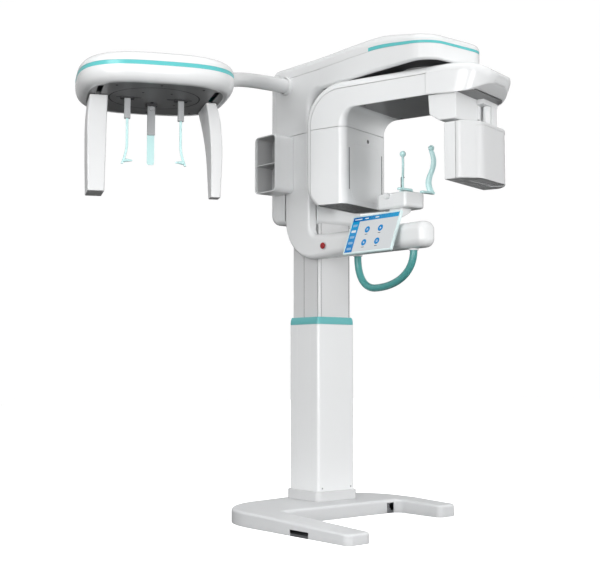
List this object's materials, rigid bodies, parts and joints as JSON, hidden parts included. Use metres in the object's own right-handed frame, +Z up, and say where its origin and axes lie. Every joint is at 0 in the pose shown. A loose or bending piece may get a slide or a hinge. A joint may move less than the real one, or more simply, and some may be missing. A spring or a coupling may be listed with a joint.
{
  "type": "cone beam ct scanner",
  "caption": "Dental cone beam scanner: lifting column on a U base, overhead arm with a turning C gantry, chin rest, screen, grip and a cephalometric head on a tube arm.",
  "frame": {"origin": "on the floor, on the column's axis", "axes": "+Z up; -Y forwards, from the column to the patient; -X to the side of the cephalometric head"},
  "size_m": [1.9658, 1.348, 2.275],
  "materials": {
    "painted_white": "gloss paint",
    "white_plastic": "gloss moulding",
    "grey_plastic": "satin moulding",
    "base_grey": "satin moulding",
    "teal_trim": "gloss moulding",
    "teal_grip": "satin moulding",
    "pale_teal": "gloss moulding",
    "dark_plate": "dark satin",
    "dark_metal": "dark satin paint",
    "red_button": "gloss moulding",
    "steel": "bare and coated steel",
    "aluminium": "plain"
  },
  "bodies": {
    "base": {"base_plate": "steel", "base_cover": "base_grey", "column_foot": "base_grey", "lower_column": "painted_white", "column_collar": "teal_trim", "lift_actuator": "aluminium", "levelling_bolt": "steel"},
    "lift": {"inner_column": "painted_white", "actuator_rod": "steel", "carriage_frame": "aluminium", "carriage_rear_cover": "white_plastic", "carriage_lower_cover": "white_plastic", "carriage_middle_cover": "white_plastic", "carriage_upper_cover": "white_plastic", "overhead_cover": "white_plastic", "overhead_lid": "white_plastic", "overhead_stripe": "teal_trim", "storage_box": "grey_plastic", "patient_arm": "white_plastic", "hand_grip": "teal_grip", "ceph_arm_collar": "white_plastic", "ceph_arm_tube": "painted_white", "ceph_lid": "white_plastic", "ceph_stripe": "teal_trim", "ceph_rim": "white_plastic", "ceph_plate": "dark_metal", "chin_post": "white_plastic", "chin_head": "white_plastic", "screen_bracket": "grey_plastic", "bite_rod": "dark_plate"},
    "shift": {"shift_plate": "steel", "slew_motor": "dark_metal"},
    "gantry": {"gantry_hub": "dark_metal", "gantry_frame": "aluminium", "gantry_back_cover": "white_plastic", "gantry_beam_cover": "white_plastic", "gantry_nose_cover": "white_plastic", "gantry_underplate": "dark_metal", "tube_housing_cover": "white_plastic", "tube_housing_floor": "dark_plate", "x_ray_tube_head": "aluminium", "collimator_box": "steel", "detector_yoke": "white_plastic"},
    "detector": {"detector_neck": "painted_white", "detector_front_cover": "white_plastic", "detector_back_cover": "white_plastic", "detector_panel": "dark_plate"},
    "ceph_turntable": {"ceph_disc": "dark_metal"},
    "ear_left": {"ear_rod_left": "pale_teal"},
    "ear_right": {"ear_rod_right": "pale_teal"},
    "nasion": {"nasion_bar": "grey_plastic"},
    "nasion_pad": {"nasion_pad": "pale_teal"},
    "ceph_sensor": {"sensor_post": "white_plastic"},
    "ceph_collimator": {"collimator_post": "white_plastic"},
    "knob": {"temple_knob": "white_plastic"},
    "temple_left": {"temple_support_left": "pale_teal"},
    "temple_right": {"temple_support_right": "pale_teal"},
    "chin": {"chin_cup": "pale_teal"},
    "stop": {"stop_button": "red_button"},
    "screen": {"screen_housing": "white_plastic"}
  },
  "joints": [
    {"name": "lift", "type": "slide", "parent": "base", "child": "lift", "axis": [0, 0, 1], "range_m": [-0.42, 0.12]},
    {"name": "gantry_shift", "type": "slide", "parent": "lift", "child": "shift", "axis": [0, 1, 0], "range_m": [-0.015, 0.015]},
    {"name": "gantry_turn", "type": "hinge", "parent": "shift", "child": "gantry", "pos_m": [0, -0.758, 2.1], "axis": [0, 0, 1], "range_deg": [-180, 180]},
    {"name": "detector_swing", "type": "hinge", "parent": "gantry", "child": "detector", "pos_m": [0.15957, -0.98648, 1.93], "axis": [0, 0, 1], "range_deg": [0, 90]},
    {"name": "ceph_turn", "type": "hinge", "parent": "lift", "child": "ceph_turntable", "pos_m": [-1.203, -0.305, 1.885], "axis": [0, 0, 1], "range_deg": [0, 90]},
    {"name": "ear_left_slide", "type": "slide", "parent": "ceph_turntable", "child": "ear_left", "axis": [0.9114, -0.4115, 0], "range_m": [-0.03, 0.05]},
    {"name": "ear_right_slide", "type": "slide", "parent": "ceph_turntable", "child": "ear_right", "axis": [-0.9114, 0.4115, 0], "range_m": [-0.03, 0.05]},
    {"name": "nasion_slide", "type": "slide", "parent": "ceph_turntable", "child": "nasion", "axis": [0.4115, 0.9114, 0], "range_m": [-0.03, 0.03]},
    {"name": "nasion_pad_slide", "type": "slide", "parent": "nasion", "child": "nasion_pad", "axis": [0, 0, 1], "range_m": [-0.04, 0.03]},
    {"name": "sensor_scan", "type": "slide", "parent": "lift", "child": "ceph_sensor", "axis": [0.4115, 0.9114, 0], "range_m": [-0.1, 0.1]},
    {"name": "collimator_scan", "type": "slide", "parent": "lift", "child": "ceph_collimator", "axis": [0.4115, 0.9114, 0], "range_m": [-0.06, 0.06]},
    {"name": "knob_turn", "type": "hinge", "parent": "lift", "child": "knob", "pos_m": [-0.09, -0.582, 1.535], "axis": [1, 0, 0], "range_deg": [-60, 180]},
    {"name": "temple_left_slide", "type": "slide", "parent": "lift", "child": "temple_left", "axis": [1, 0, 0], "range_m": [-0.0083, 0.0251]},
    {"name": "temple_right_slide", "type": "slide", "parent": "lift", "child": "temple_right", "axis": [-1, 0, 0], "range_m": [-0.0083, 0.0251]},
    {"name": "chin_height", "type": "slide", "parent": "lift", "child": "chin", "axis": [0, 0, 1], "range_m": [0, 0.03]},
    {"name": "stop_press", "type": "slide", "parent": "lift", "child": "stop", "axis": [1, 0, 0], "range_m": [0, 0.004], "stiffness_N_per_m": 2500},
    {"name": "screen_tilt", "type": "hinge", "parent": "lift", "child": "screen", "pos_m": [-0.19578, -0.611, 1.34137], "axis": [0, 1, 0], "range_deg": [-20, 15]}
  ],
  "couplings": [
    {"joint": "ear_right_slide", "follows": "ear_left_slide", "ratio": 1},
    {"joint": "collimator_scan", "follows": "sensor_scan", "ratio": 0.6},
    {"joint": "knob_turn", "follows": "temple_left_slide", "rad_per_m": 125},
    {"joint": "temple_right_slide", "follows": "temple_left_slide", "ratio": 1}
  ]
}
